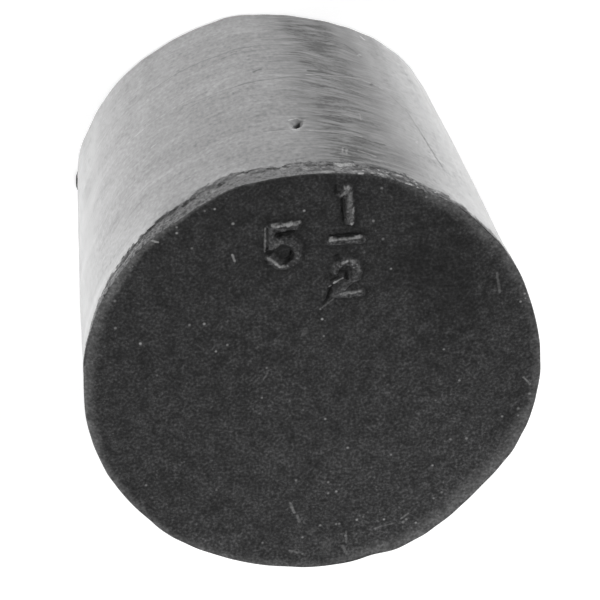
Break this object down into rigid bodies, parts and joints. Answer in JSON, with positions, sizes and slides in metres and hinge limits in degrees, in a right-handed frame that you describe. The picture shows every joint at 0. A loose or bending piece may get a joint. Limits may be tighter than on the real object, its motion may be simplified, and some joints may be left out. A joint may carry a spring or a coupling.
{
  "type": "rubber stopper",
  "caption": "Solid tapered round rubber stopper with flat ends and a knife-trimmed rim, standing on its small end.",
  "frame": {"origin": "centre of the small end's flat face, which the stopper stands on", "axes": "+Z along the axis from the small end to the large end; +Y towards the size number on the large face"},
  "size_m": [0.028, 0.0279, 0.025],
  "materials": {
    "rubber": "charcoal moulded rubber: matt end faces, side buffed round to a lighter grey"
  },
  "bodies": {
    "root": {"stopper": "rubber"}
  },
  "joints": []
}
